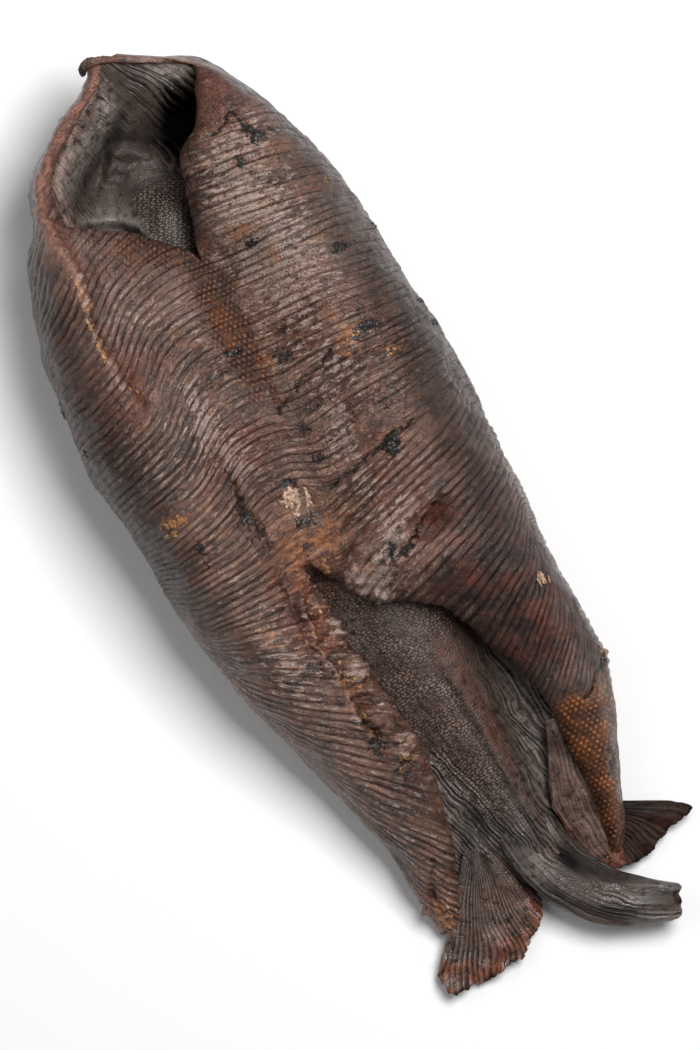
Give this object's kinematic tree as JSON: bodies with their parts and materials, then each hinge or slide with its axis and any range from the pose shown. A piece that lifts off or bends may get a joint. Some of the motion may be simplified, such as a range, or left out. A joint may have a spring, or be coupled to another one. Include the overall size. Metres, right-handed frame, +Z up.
{
  "type": "smoked ray",
  "caption": "Whole smoked ray dried with its wings curled up over the back into a ridged dark roll, with a hollow behind the snout, a pebbled back, a tail stub and small fins at the rear.",
  "frame": {"origin": "On the resting plane, under the middle of the bounding box", "axes": "+Z up, +Y from the tail towards the snout along the roll, +X towards the ray's right wing"},
  "size_m": [0.1674, 0.4136, 0.098],
  "materials": {
    "smoked_skin": "dried and ridged, satin where fat has dried on it"
  },
  "bodies": {
    "root": {"smoked_ray": "smoked_skin"}
  },
  "joints": []
}
